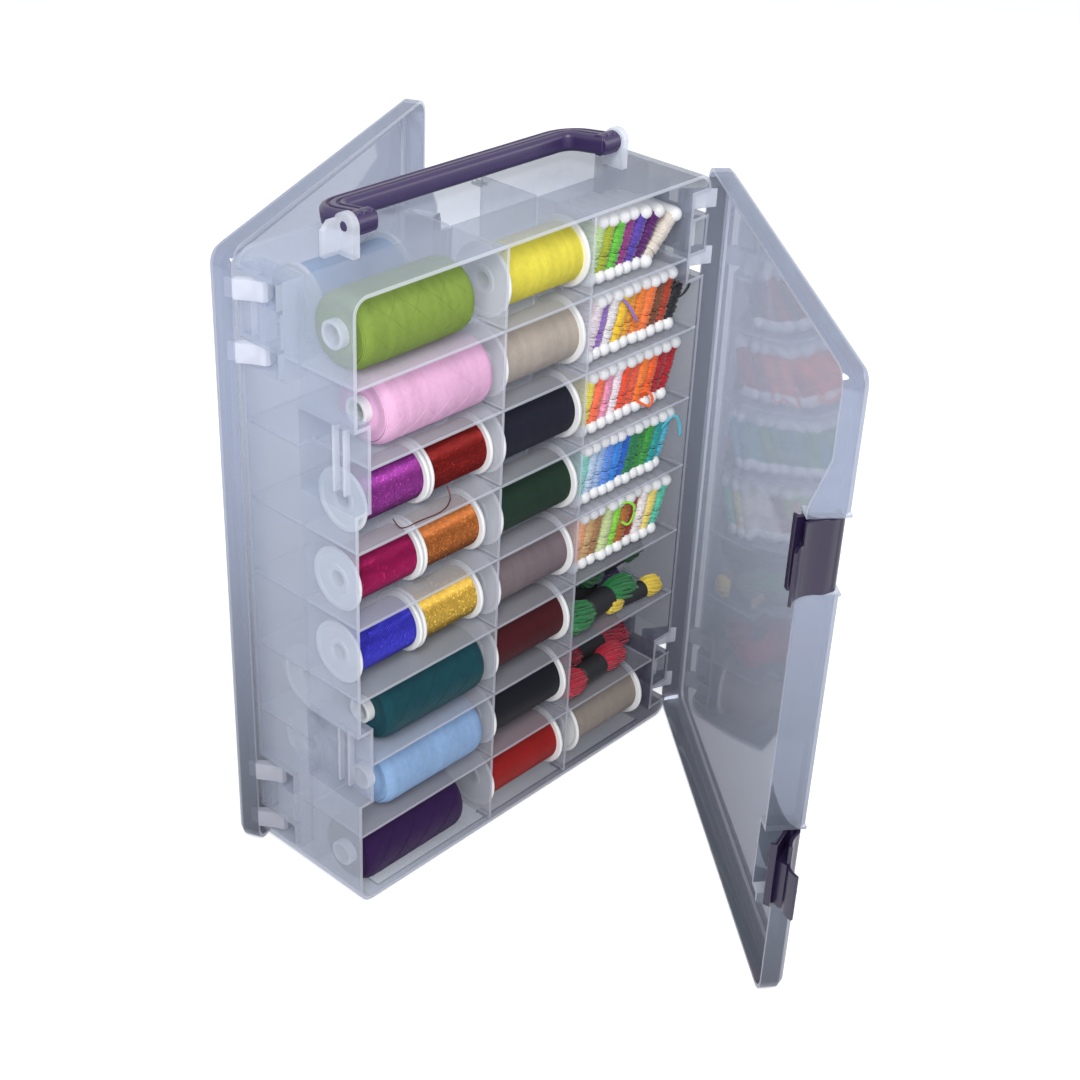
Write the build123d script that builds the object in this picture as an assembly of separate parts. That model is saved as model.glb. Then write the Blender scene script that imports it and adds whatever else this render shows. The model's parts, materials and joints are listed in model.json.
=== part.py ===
from build123d import *
import os
from math import atan2, degrees

# Embroidery thread box: a double-sided carrying case that stands on its narrow
# base, with a divided core, a hinged tray lid on each face, swing latches and a
# folding carry handle, shown open and partly filled with thread.
# Millimetres. +X right, +Y to the rear, +Z up. Origin: centre of the footprint.

# ---------------------------------------------------------------- core case
case_width = 248.0
case_height = 340.0
case_depth = 78.0
wall = 2.0
web_thickness = 2.0
corner_radius = 9.0
foot_height = 1.5
foot_length = 212.0
foot_width = 66.0

row_count = 8
divider_left_x = -27.0
divider_right_x = 34.0
panel_thickness = 1.8
fit_gap = 0.3
guide_rib = 1.2
guide_reach = 2.0
guide_length = 7.0

# ---------------------------------------------------------------- lids
lid_depth = 12.0
lid_wall = 2.0
lid_overhang = 1.0
lid_free_offset = 2.6
lid_gap = 0.6
lid_edge_chamfer = 3.0
skirt_depth = 20.0
skirt_margin = 4.0
skirt_ramp = 22.0
front_lid_angle = 50.7
rear_lid_angle = 25.7

# ---------------------------------------------------------------- lid hinges
hinge_inset_x = 5.0
hinge_inset_y = 11.0
hinge_end_distance = 33.0
hinge_recess_depth = 13.0
hinge_recess_length = 27.0
hinge_recess_height = 46.0
knuckle_radius = 4.5
knuckle_height = 21.0
knuckle_chamfer = 1.6
lug_height = 10.0
lug_gap = 0.3
pin_radius = 2.0
running_clearance = 0.05
lug_root = 5.0

# ---------------------------------------------------------------- latches
latch_rows = (2, 6)
pocket_depth = 8.0
pocket_height = 42.0
catch_rib_thickness = 1.5
catch_rib_reach = 3.2
catch_rib_height = 34.0
catch_rib_pitch = 7.2
housing_wall = 1.5
housing_gap = 0.6
housing_depth = 8.0
latch_side_gap = 0.3
latch_length = 28.0
latch_skin = 2.0
latch_lip_reach = 8.5
latch_knee = 0.72
latch_knee_reach = 2.6
latch_bend_reach = 0.8
latch_pivot_inset = 5.0
latch_barrel_radius = 3.2
latch_barrel_setback = 4.2
latch_strip = 1.6
latch_strip_setback = 5.4
latch_barb_length = 1.8
latch_barb_reach = 2.0
latch_rib = 1.5
latch_rib_spread = 7.0
trunnion_radius = 1.4
latch_rest_angle = 6.0
latch_open_angle = 55.0

# ---------------------------------------------------------------- carry handle
ear_x = 92.0
ear_thickness = 4.0
ear_width = 13.0
ear_rib_reach = 8.5
ear_rib_thickness = 3.0
ear_rib_drop = 4.0
handle_pivot_height = 14.0
handle_pin_radius = 2.4
handle_gap = 0.4
handle_reach = 26.0
handle_bar_width = 13.0
handle_bar_height = 10.0
handle_outer_radius = 18.0
handle_edge_chamfer = 2.0
handle_groove_width = 1.8
handle_groove_depth = 1.2
handle_groove_spacing = 4.6
handle_angle = -8.0

# ---------------------------------------------------------------- thread
seat_gap = 0.3
spool_headroom = 3.0
spool_flange = 2.2
spool_hub_radius = 8.0
spool_sides = 14
hub_sides = 6
tube_sides = 12
spool_wind_margin = 3.5
stray_spool_shift = 9.0
small_spool_shrink = 4.0
small_spool_gap = 0.6
barrel_length = 78.0
barrel_tube_radius = 7.0
barrel_bore_radius = 5.4
barrel_tube_stub = 4.0
barrel_shoulder = 5.0
barrel_shoulder_drop = 3.0
bobbin_headroom = 3.2
bobbin_width = 33.0
bobbin_bar = 6.0
bobbin_thickness = 5.6
bobbin_pitch = 8.4
bobbin_lean = 17.0
floss_thickness = 7.2
floss_inset = 1.8
skein_end_gap = 1.0
skein_radius = 6.5
skein_waist = 4.4
skein_ease = 2.4
skein_band_length = 20.0
skein_band_wall = 0.4
skein_pitch = 13.8

# ---------------------------------------------------------------- derived
half_width = case_width / 2
half_depth = case_depth / 2
base_z = foot_height
top_z = base_z + case_height
inner_width = case_width - 2 * wall
row_pitch = (case_height - 2 * wall) / row_count
row_clear = row_pitch - panel_thickness
side_depth = half_depth - web_thickness / 2
hinge_x = half_width - hinge_inset_x
hinge_y = -(half_depth - hinge_inset_y)
hinge_levels = (top_z - hinge_end_distance, base_z + hinge_end_distance)
handle_z = top_z + handle_pivot_height
lid_panel_y = -(half_depth + lid_gap + lid_depth)
lid_left_x = -(half_width + lid_free_offset)
lid_right_x = half_width + lid_overhang
housing_height = pocket_height - 2 * housing_gap
latch_height = housing_height - 2 * (housing_wall + latch_side_gap)
spool_radius = min(row_clear - spool_headroom, side_depth - 2 * seat_gap) / 2
small_spool_radius = spool_radius - small_spool_shrink / 2
bobbin_height = row_clear - bobbin_headroom
recess_floor_x = half_width - hinge_recess_depth


def block(x0, x1, y0, y1, z0, z1):
    """Rectangular block between two corners."""
    centre = ((x0 + x1) / 2, (y0 + y1) / 2, (z0 + z1) / 2)
    return Pos(*centre) * Box(x1 - x0, y1 - y0, z1 - z0)


def slab_y(profile, y0, y1):
    """Push an XZ profile (local x, y = world X, Z) through from y0 to y1."""
    return extrude(Plane.XZ.offset(-y1) * profile, amount=y1 - y0)


def slab_z(points, z0, z1):
    """Raise a polygon drawn in plan (X, Y) from z0 to z1."""
    return extrude(Pos(0, 0, z0) * make_face(Polyline(*points, close=True)), amount=z1 - z0)


def post(x, y, radius, z0, z1):
    """Upright cylinder from z0 to z1."""
    return Pos(x, y, (z0 + z1) / 2) * Cylinder(radius, z1 - z0)


def cross_rod(x0, x1, y, z, radius):
    """Cylinder lying along X."""
    return Pos((x0 + x1) / 2, y, z) * Rot(0, 90, 0) * Cylinder(radius, x1 - x0)


def half_turn(shape):
    """The same feature on the other face: both faces match by a half turn."""
    return Rot(0, 0, 180) * shape


def swung(shape, x, y, angle):
    """Turn a shape about the upright axis through (x, y)."""
    return Pos(x, y, 0) * Rot(0, 0, angle) * Pos(-x, -y, 0) * shape


def shelf_level(row):
    """Centre height of the shelf below the given row, counted from the top."""
    return top_z - wall - row * row_pitch


def floor_level(row):
    """Height of the surface that a row's contents stand on."""
    if row == row_count:
        return base_z + wall
    return shelf_level(row) + panel_thickness / 2


def case_outline(shrink=0.0):
    """Rounded XZ outline of the case, drawn in by shrink on every side."""
    profile = RectangleRounded(case_width - 2 * shrink, case_height - 2 * shrink, corner_radius - shrink)
    return Pos(0, (base_z + top_z) / 2) * profile


# ================================================================ core shell
def ring_and_web():
    """Outer wall of the core with the upright web that parts its two faces."""
    shell = slab_y(case_outline(), -half_depth, half_depth)
    cavity = slab_y(case_outline(wall), -half_depth, -web_thickness / 2)
    return shell - cavity - half_turn(cavity)


def latch_pocket(level):
    """Stepped-in length of the left wall that a front latch hooks into."""
    floor_x = -half_width + pocket_depth
    z0 = level - pocket_height / 2
    z1 = level + pocket_height / 2
    body = block(-half_width, floor_x + wall, -half_depth, 0, z0 - wall, z1 + wall)
    void = block(-half_width - wall, floor_x, -half_depth - wall, -web_thickness / 2, z0, z1)
    return body, void


def catch_ribs(level):
    """Two upright ribs on the pocket floor; the latch barb drops between them."""
    floor_x = -half_width + pocket_depth
    barb_y = lid_panel_y + latch_length
    first = barb_y - latch_barb_length - fit_gap - catch_rib_thickness
    ribs = Part()
    for y in (first, first + catch_rib_pitch):
        ribs += block(floor_x - catch_rib_reach, floor_x, y, y + catch_rib_thickness,
                      level - catch_rib_height / 2, level + catch_rib_height / 2)
    return ribs


def hinge_recess(level):
    """Box inside the right wall: two pockets, open to the side, where the front lid's
    lugs swing, and a hollow between them behind the unbroken wall."""
    floor_x = recess_floor_x
    front_y = -half_depth - wall
    back_y = -half_depth + hinge_recess_length
    near = knuckle_height / 2
    far = hinge_recess_height / 2
    body = block(floor_x - wall, half_width, -half_depth, back_y + wall, level - far - wall, level + far + wall)
    void = block(floor_x, half_width - wall, front_y, back_y, level - near + wall, level + near - wall)
    for z0, z1 in ((level - far, level - near), (level + near, level + far)):
        void += block(floor_x, half_width + wall, front_y, back_y, z0, z1)
    return body, void + post(hinge_x, hinge_y, pin_radius, level - near, level + near)


def core_knuckle(level):
    """Square column on the inside of the wall, between two lug pockets, that holds a pin."""
    half = knuckle_height / 2
    r = knuckle_radius
    column = block(hinge_x - r, half_width - wall, hinge_y - r, hinge_y + r, level - half, level + half)
    return column - post(hinge_x, hinge_y, pin_radius, level - half, level + half)


def shelf_guides():
    """Ledges on the side walls of the front face that carry the shelf ends."""
    ribs = Part()
    drop = panel_thickness / 2 + guide_rib
    pocket_span = pocket_height / 2 + wall
    recess_span = hinge_recess_height / 2 + wall
    for row in range(1, row_count):
        level = shelf_level(row)
        in_pocket = any(abs(level - shelf_level(r)) < pocket_span for r in latch_rows)
        in_recess = any(abs(level - h) < recess_span for h in hinge_levels)
        for side in (-1, 1):
            if side < 0 and in_pocket:
                continue
            front = -half_depth + guide_reach
            if side > 0 and in_recess:
                front = -half_depth + hinge_recess_length
            wall_x = side * (half_width - wall)
            tip_x = wall_x - side * guide_reach
            ribs += block(min(wall_x, tip_x), max(wall_x, tip_x), front, -web_thickness / 2,
                          level - drop, level - drop + guide_rib)
    return ribs


def divider_guides():
    """Rib pairs of the front face, under the top and on the base, for divider ends."""
    ribs = Part()
    offset = panel_thickness / 2 + fit_gap / 2
    y0 = -half_depth + guide_reach
    y1 = y0 + guide_length
    for x in (divider_left_x, divider_right_x):
        for low_x in (x - offset - guide_rib, x + offset):
            for z in (base_z + wall, top_z - wall - guide_reach):
                ribs += block(low_x, low_x + guide_rib, y0, y1, z, z + guide_reach)
    return ribs


def handle_ear(side):
    """Rounded ear on the top wall with the handle's pin hole and an outer rib."""
    inner_x = side * ear_x - ear_thickness / 2
    profile = Pos(0, -handle_pivot_height / 2) * Rectangle(ear_width, handle_pivot_height)
    profile += Circle(ear_width / 2)
    profile -= Circle(handle_pin_radius + running_clearance)
    plate = extrude(Plane.YZ.offset(inner_x) * Pos(0, handle_z) * profile, amount=ear_thickness)
    outer_x = side * (ear_x + ear_thickness / 2)
    tip_x = outer_x + side * ear_rib_reach
    rib_top = handle_z + ear_width / 2 - ear_rib_drop
    rib_y = ear_width / 2 - ear_rib_thickness
    rib = make_face(Polyline((outer_x, top_z), (tip_x, top_z), (tip_x, rib_top - ear_rib_drop),
                             (tip_x - side * ear_rib_drop, rib_top), (outer_x, rib_top), close=True))
    return plate + slab_y(rib, rib_y, rib_y + ear_rib_thickness)


def foot():
    """Low plinth that lifts the lids' lower edges clear of the table."""
    return block(-foot_length / 2, foot_length / 2, -foot_width / 2, foot_width / 2, 0, base_z)


def core_shell():
    """The moulded core: ring, web, latch pockets, hinge recesses, ears, foot."""
    bodies = Part()
    voids = Part()
    details = shelf_guides() + divider_guides()
    pockets = [latch_pocket(shelf_level(row)) for row in latch_rows]
    recesses = [hinge_recess(level) for level in hinge_levels]
    for body, void in pockets + recesses:
        bodies += body
        voids += void
    for row in latch_rows:
        details += catch_ribs(shelf_level(row))
    for level in hinge_levels:
        details += core_knuckle(level)
    shell = ring_and_web() + bodies + half_turn(bodies)
    shell = shell - voids - half_turn(voids)
    shell = shell + details + half_turn(details)
    return shell + handle_ear(-1) + handle_ear(1) + foot()


# ================================================================ shelves, dividers
def shelf(row, facing):
    """One full-width shelf; facing -1 is the front face, 1 the rear."""
    half_x = inner_width / 2 - fit_gap
    back_y = -web_thickness / 2 - fit_gap
    front_y = -half_depth + fit_gap
    level = shelf_level(row)
    z0 = level - panel_thickness / 2
    z1 = z0 + panel_thickness
    plate = block(-half_x, half_x, front_y, back_y, z0, z1)
    mid_y = (front_y + back_y) / 2
    slot = panel_thickness / 2 + fit_gap / 2
    for x in (divider_left_x, divider_right_x):
        x = x * -facing
        plate -= block(x - slot, x + slot, mid_y, back_y + 1, z0 - 1, z1 + 1)
    pocket_x = -half_width + pocket_depth + wall + fit_gap
    if any(abs(level - shelf_level(r)) < pocket_height / 2 + wall for r in latch_rows):
        plate -= block(-half_width, pocket_x, front_y - 1, back_y + 1, z0 - 1, z1 + 1)
    recess_x = recess_floor_x - wall - fit_gap
    recess_y = -half_depth + hinge_recess_length + wall + fit_gap
    if any(abs(level - h) < hinge_recess_height / 2 + wall for h in hinge_levels):
        plate -= block(recess_x, half_width, front_y - 1, recess_y, z0 - 1, z1 + 1)
    return plate if facing < 0 else half_turn(plate)


def divider(x, facing):
    """Upright divider, slotted from its open edge where the shelves cross it.

    Both faces share the same x, so the dividers stand back to back."""
    back_y = -web_thickness / 2 - fit_gap
    front_y = -half_depth + fit_gap
    mid_y = (front_y + back_y) / 2
    slot = panel_thickness / 2 + fit_gap / 2
    x = x * -facing
    plate = block(x - panel_thickness / 2, x + panel_thickness / 2, front_y, back_y,
                  base_z + wall + fit_gap, top_z - wall - fit_gap)
    for row in range(1, row_count):
        level = shelf_level(row)
        plate -= block(x - 2 * slot, x + 2 * slot, front_y - 1, mid_y + fit_gap, level - slot, level + slot)
    return plate if facing < 0 else half_turn(plate)


# ================================================================ lids
def lid_outline(shrink=0.0):
    """Rounded outline of a lid in XZ, drawn in by shrink."""
    width = lid_right_x - lid_left_x - 2 * shrink
    height = case_height + 2 * lid_overhang - 2 * shrink
    centre = ((lid_left_x + lid_right_x) / 2, (base_z + top_z) / 2)
    return Pos(*centre) * RectangleRounded(width, height, corner_radius + lid_overhang - shrink)


def lid_tray():
    """Shallow tray with soft outer edges, open towards the core."""
    rim_y = lid_panel_y + lid_depth
    tray = slab_y(lid_outline(), lid_panel_y, rim_y)
    tray = chamfer(tray.faces().sort_by(Axis.Y)[0].edges(), lid_edge_chamfer)
    return tray - slab_y(lid_outline(lid_wall), lid_panel_y + lid_wall, rim_y)


def lid_skirt():
    """Deeper length of the free side wall, ramped in above the upper latch."""
    top = shelf_level(latch_rows[0]) + housing_height / 2 + skirt_margin
    bottom = shelf_level(latch_rows[-1]) - housing_height / 2 - skirt_margin
    rim_y = lid_panel_y + lid_depth
    deep_y = lid_panel_y + skirt_depth
    mid_y = lid_panel_y + lid_depth / 2
    start = top + skirt_ramp
    end = bottom - skirt_margin
    side = make_face(Polyline((mid_y, start), (rim_y, start), (deep_y, top), (deep_y, bottom),
                              (rim_y, end), (mid_y, end), close=True))
    return extrude(Plane.YZ.offset(lid_left_x) * side, amount=lid_wall)


def latch_housing(level):
    """Recessed bay in the lid's free side that a latch turns in."""
    half = housing_height / 2
    inner = half - housing_wall
    floor_x = lid_left_x + housing_depth
    deep_y = lid_panel_y + skirt_depth
    body = block(lid_left_x, floor_x + housing_wall, lid_panel_y, deep_y, level - half, level + half)
    void = block(lid_left_x - wall, floor_x, lid_panel_y - wall, deep_y + wall, level - inner, level + inner)
    bore = post(lid_left_x + latch_barrel_setback, lid_panel_y + latch_pivot_inset,
                trunnion_radius + running_clearance, level - half, level + half)
    return body, void + bore


def lid_lug(z0, z1):
    """Arm from the hinge-side wall that wraps the pin."""
    rim_y = lid_panel_y + lid_depth
    wall_x = lid_right_x - lid_wall
    root_y = rim_y - lug_root
    r = knuckle_radius
    s = r - knuckle_chamfer
    eye = [(hinge_x + r, hinge_y - s), (hinge_x + r, hinge_y + s), (hinge_x + s, hinge_y + r),
           (hinge_x - s, hinge_y + r), (hinge_x - r, hinge_y + s), (hinge_x - r, hinge_y - s),
           (hinge_x, hinge_y - r)]
    arm = slab_z([(wall_x, root_y), (lid_right_x, root_y), (lid_right_x, rim_y)] + eye, z0, z1)
    return arm - post(hinge_x, hinge_y, pin_radius + running_clearance, z0, z1)


def closed_lid():
    """Front lid in its closed place."""
    lid = lid_tray() + lid_skirt()
    for row in latch_rows:
        body, void = latch_housing(shelf_level(row))
        lid = lid + body - void
    near = knuckle_height / 2 + lug_gap
    for level in hinge_levels:
        lid += lid_lug(level + near, level + near + lug_height)
        lid += lid_lug(level - near - lug_height, level - near)
    return lid


def hinge_pins():
    """The two pins of one lid."""
    half = knuckle_height / 2 + lug_gap + lug_height
    return Part() + [post(hinge_x, hinge_y, pin_radius, h - half, h + half) for h in hinge_levels]


# ================================================================ latches
def latch_profile():
    """Plan of the latch: skin with flared lip, hook strip with barb, cross web.

    Local x runs from the pivot towards the hook, local y outwards."""
    tip = latch_length - latch_pivot_inset
    lip_x = tip - latch_skin
    lip_y = latch_barrel_setback + latch_lip_reach
    knee_x = lip_x * latch_knee
    knee_y = latch_barrel_setback + latch_knee_reach
    bend_x = knee_x / 2
    r, t = latch_barrel_radius, latch_skin
    skin = make_face(Polyline((0, r), (bend_x, r + latch_bend_reach), (knee_x, knee_y), (lip_x, lip_y),
                              (tip, lip_y - t / 2), (knee_x + t / 2, knee_y - t),
                              (bend_x, r + latch_bend_reach - t), (0, r - t), close=True))
    strip_y = latch_barrel_setback - latch_strip_setback
    low = strip_y - latch_strip
    barb = low - latch_barb_reach
    strip = make_face(Polyline((0, strip_y), (tip, strip_y), (tip, barb), (tip - latch_barb_length, barb),
                               (tip - latch_barb_length, low), (0, low), close=True))
    web = make_face(Polyline((0, strip_y), (tip - t, strip_y), (knee_x + t / 2, knee_y - t), (0, 0),
                             close=True))
    return skin, strip, web


def latch():
    """Latch about its own pivot: skin, hook strip, cross webs and trunnions."""
    skin, strip, web = latch_profile()
    half = latch_height / 2
    r = latch_barrel_radius
    body = extrude(Pos(0, 0, -half) * skin, amount=latch_height)
    body += extrude(Pos(0, 0, -half) * strip, amount=latch_height)
    body += Rot(0, 0, 22.5) * extrude(Pos(0, 0, -half) * RegularPolygon(r, 8), amount=latch_height)
    for z in (-latch_rib_spread, latch_rib_spread):
        body += extrude(Pos(0, 0, z - latch_rib / 2) * web, amount=latch_rib)
    reach = half + latch_side_gap + housing_wall - latch_side_gap / 2
    return body + post(0, 0, trunnion_radius, -reach, reach)


def placed_latch(level, swing):
    """Latch in its closed lid: local x turned to +Y, local y outwards (-X)."""
    pivot = Pos(lid_left_x + latch_barrel_setback, lid_panel_y + latch_pivot_inset, level)
    return pivot * Rot(0, 0, swing) * Rot(0, 0, 90) * latch()


# ================================================================ handle
def bail_strip(inset, width):
    """U-shaped band of the bail's plan, from inset to inset + width inside it."""
    half = ear_x - ear_thickness / 2 - handle_gap
    heel = -handle_bar_width / 2

    def solid_u(d):
        height = handle_reach + handle_bar_width / 2 - heel - d
        tall = Rectangle(2 * (half - d), 2 * height)
        corners = tall.vertices().group_by(Axis.Y)[-1]
        rounded = fillet(corners, max(handle_outer_radius - d, 1.0))
        return Pos(0, heel) * (rounded & Pos(0, height / 2) * Rectangle(2 * half, height))

    return solid_u(inset) - solid_u(inset + width)


def folded_handle():
    """Bail with two grooves round its outer face, folded to the rear."""
    half_t = handle_bar_height / 2
    bar = extrude(Pos(0, 0, -half_t) * bail_strip(0, handle_bar_width), amount=handle_bar_height)
    top_edges = bar.faces().sort_by(Axis.Z)[-1].edges().filter_by(lambda e: e.center().Y > 0)
    bar = chamfer(top_edges, handle_edge_chamfer)
    middle = handle_bar_width / 2
    for side in (-1, 1):
        start = middle + side * handle_groove_spacing / 2 - handle_groove_width / 2
        groove = bail_strip(start, handle_groove_width)
        bar -= extrude(Pos(0, 0, half_t - handle_groove_depth) * groove, amount=handle_groove_depth)
    arm_face = ear_x - ear_thickness / 2 - handle_gap
    pin_end = ear_x + ear_thickness / 2
    pin = cross_rod(arm_face, pin_end, 0, 0, handle_pin_radius)
    bar += [pin, half_turn(pin)]
    return Pos(0, 0, handle_z) * Rot(handle_angle, 0, 0) * bar


# ================================================================ spools
def rod(radius, x0, x1, sides=spool_sides, taper=0.0):
    """Length of a spool about X: a round drawn with a few flat sides."""
    section = Plane.YZ.offset(x0) * RegularPolygon(radius, sides)
    return extrude(section, amount=x1 - x0, taper=taper)


def flanged_spool(length, radius):
    """Spool body: hub between two flanges, axis along X, starting at x = 0."""
    flanges = rod(radius, 0, spool_flange) + rod(radius, length - spool_flange, length)
    return flanges + rod(spool_hub_radius, 0, length, hub_sides)


def flanged_winding(length, radius):
    """Thread wound level between the flanges."""
    ends = (spool_flange, length - spool_flange)
    return rod(radius - spool_wind_margin, *ends) - rod(spool_hub_radius, *ends, hub_sides)


def barrel_tube(length):
    """Plain open tube of a barrel spool."""
    return rod(barrel_tube_radius, 0, length, tube_sides) - rod(barrel_bore_radius, 0, length, tube_sides)


def barrel_winding(length, radius):
    """Thread barrel with sloping shoulders, wound on a plain tube."""
    middle = length / 2
    straight = middle - barrel_tube_stub - barrel_shoulder
    slope = degrees(atan2(barrel_shoulder_drop, barrel_shoulder))
    body = rod(radius, middle - straight, middle + straight)
    shoulder = Pos(middle, 0, 0) * rod(radius, straight, straight + barrel_shoulder, taper=slope)
    body += [shoulder, Pos(middle, 0, 0) * Rot(0, 0, 180) * Pos(-middle, 0, 0) * shoulder]
    return body - rod(barrel_tube_radius, 0, length, tube_sides)


def seated(shape, x, row, radius):
    """Lay a spool on a row of the front face, close to the web."""
    y = -(web_thickness / 2 + seat_gap + radius)
    return Pos(x, y, floor_level(row) + seat_gap + radius) * shape


pocket_edge_x = -half_width + pocket_depth + wall + seat_gap
open_edge_x = -half_width + wall + guide_reach + seat_gap
left_end_x = divider_left_x - panel_thickness / 2 - seat_gap
column_two_length = divider_right_x - divider_left_x - panel_thickness - 4 * seat_gap
column_two_x = divider_left_x + panel_thickness / 2 + 2 * seat_gap
column_three_x = divider_right_x + panel_thickness / 2 + 2 * seat_gap
small_spool_length = (left_end_x - pocket_edge_x - small_spool_gap) / 2
barrel_places = {1: open_edge_x, 2: left_end_x - barrel_length, 6: left_end_x - barrel_length,
                 7: left_end_x - barrel_length, 8: open_edge_x}
skein_length = recess_floor_x - wall - skein_end_gap - column_three_x
small_places = {3: pocket_edge_x, 4: pocket_edge_x - pocket_depth / 2, 5: pocket_edge_x - pocket_depth / 2}


def barrel_spools():
    """Five long barrel spools of the left column: tubes, then their thread."""
    tube = barrel_tube(barrel_length)
    winding = barrel_winding(barrel_length, spool_radius)
    tubes = Part() + [seated(tube, x, row, spool_radius) for row, x in barrel_places.items()]
    thread = Part() + [seated(winding, x, row, spool_radius) for row, x in barrel_places.items()]
    return tubes, thread


def small_spools():
    """Three pairs of short metallic-thread spools in the left column."""
    body = flanged_spool(small_spool_length, small_spool_radius)
    winding = flanged_winding(small_spool_length, small_spool_radius)
    step = small_spool_length + small_spool_gap
    places = [(x + i * step, row) for row, x in small_places.items() for i in range(2)]
    bodies = Part() + [seated(body, x, row, small_spool_radius) for x, row in places]
    thread = Part() + [seated(winding, x, row, small_spool_radius) for x, row in places]
    return bodies, thread


def large_spools():
    """Large flanged spools: the whole middle column and one at bottom right."""
    places = [(column_two_x, row) for row in range(1, row_count + 1)]
    places.append((column_three_x + stray_spool_shift, row_count))
    body = flanged_spool(column_two_length, spool_radius)
    winding = flanged_winding(column_two_length, spool_radius)
    bodies = Part() + [seated(body, x, row, spool_radius) for x, row in places]
    thread = Part() + [seated(winding, x, row, spool_radius) for x, row in places]
    return bodies, thread


# ================================================================ floss bobbins
def wound_bobbin():
    """Floss on its bobbin, standing on z = 0 with its width along Y.

    The floss hides the bobbin's waist, so only its two end bars show."""
    bar_half = bobbin_width / 2
    reach = bar_half - floss_inset
    half = floss_thickness / 2
    floss = block(-half, half, -reach, reach, bobbin_bar, bobbin_height - bobbin_bar)
    bars = [block(-bobbin_thickness / 2, bobbin_thickness / 2, -bar_half, bar_half, z, z + bobbin_bar)
            for z in (0, bobbin_height - bobbin_bar)]
    return floss + bars


def bobbin_row(row):
    """A file of wound bobbins that lean on one another in the right column."""
    leaning = Rot(0, bobbin_lean, 0) * wound_bobbin()
    extent = leaning.bounding_box()
    end_x = half_width - wall - guide_reach
    middle = floor_level(row) + row_clear / 2
    if any(abs(middle - h) < (hinge_recess_height + row_clear) / 2 + wall for h in hinge_levels):
        end_x = recess_floor_x - wall
    first_x = column_three_x - extent.min.X
    count = int((end_x - first_x - extent.max.X) / bobbin_pitch) + 1
    y = -(web_thickness / 2 + seat_gap + bobbin_width / 2)
    z = floor_level(row) + seat_gap - extent.min.Z
    return Part() + [Pos(first_x + i * bobbin_pitch, y, z) * leaning for i in range(count)]


# ================================================================ skeins
def bundle(length, radius, ease):
    """Soft-edged bar of floss about X, centred at the origin."""
    bar = Box(length, 2 * radius, 2 * radius)
    return chamfer(bar.edges(), ease)


def skein():
    """Twin lobes of floss along X, drawn in between them by a paper band."""
    lobe = (skein_length - skein_band_length) / 2
    shift = (skein_length - lobe) / 2
    lobes = [Pos(side * shift, 0, 0) * bundle(lobe, skein_radius, skein_ease) for side in (-1, 1)]
    return Box(skein_band_length, 2 * skein_waist, 2 * skein_waist) + lobes


def skein_band():
    """Paper band round the waist of a skein."""
    outer = 2 * (skein_waist + skein_band_wall)
    band = Box(skein_band_length, outer, outer)
    return band - Box(skein_band_length, 2 * skein_waist, 2 * skein_waist)


def skeins():
    """Banded skeins lying in the sixth and seventh rows of the right column."""
    bodies = Part()
    bands = Part()
    for row, count in ((6, 2), (7, 2)):
        for i in range(count):
            y = -(web_thickness / 2 + seat_gap + skein_radius + i * skein_pitch)
            place = Pos(column_three_x + skein_length / 2, y, floor_level(row) + seat_gap + skein_radius)
            bodies += place * skein()
            bands += place * skein_band()
    return bodies, bands


# ================================================================ assembly
def build():
    """Every sub-part in the open pose of the standing case."""
    parts = {"core_shell": core_shell()}
    for row in range(1, row_count):
        parts[f"front_shelf_{row}"] = shelf(row, -1)
        parts[f"rear_shelf_{row}"] = shelf(row, 1)
    for name, x in (("left", divider_left_x), ("right", divider_right_x)):
        parts[f"front_divider_{name}"] = divider(x, -1)
        parts[f"rear_divider_{name}"] = divider(x, 1)
    lid = closed_lid()
    pins = hinge_pins()
    parts["front_hinge_pins"] = pins
    parts["rear_hinge_pins"] = half_turn(pins)
    parts["front_lid"] = swung(lid, hinge_x, hinge_y, front_lid_angle)
    parts["rear_lid"] = half_turn(swung(lid, hinge_x, hinge_y, rear_lid_angle))
    for name, row, front_angle in (("upper", latch_rows[0], latch_rest_angle),
                                   ("lower", latch_rows[1], latch_open_angle)):
        front = placed_latch(shelf_level(row), front_angle)
        rear = placed_latch(shelf_level(row), latch_rest_angle)
        parts[f"front_latch_{name}"] = swung(front, hinge_x, hinge_y, front_lid_angle)
        parts[f"rear_latch_{name}"] = half_turn(swung(rear, hinge_x, hinge_y, rear_lid_angle))
    parts["carry_handle"] = folded_handle()
    parts["barrel_spool_tubes"], parts["barrel_spool_thread"] = barrel_spools()
    parts["small_spools"], parts["small_spool_thread"] = small_spools()
    parts["large_spools"], parts["large_spool_thread"] = large_spools()
    for row in range(1, 6):
        parts[f"floss_bobbins_{row}"] = bobbin_row(row)
    parts["floss_skeins"], parts["skein_bands"] = skeins()
    return parts


os.makedirs("parts", exist_ok=True)
for name, shape in build().items():
    export_step(Compound(children=list(shape.solids())), f"parts/{name}.step")
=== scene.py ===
import json
import math
import random

import bmesh
import bpy
from mathutils import Matrix, Vector


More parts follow.
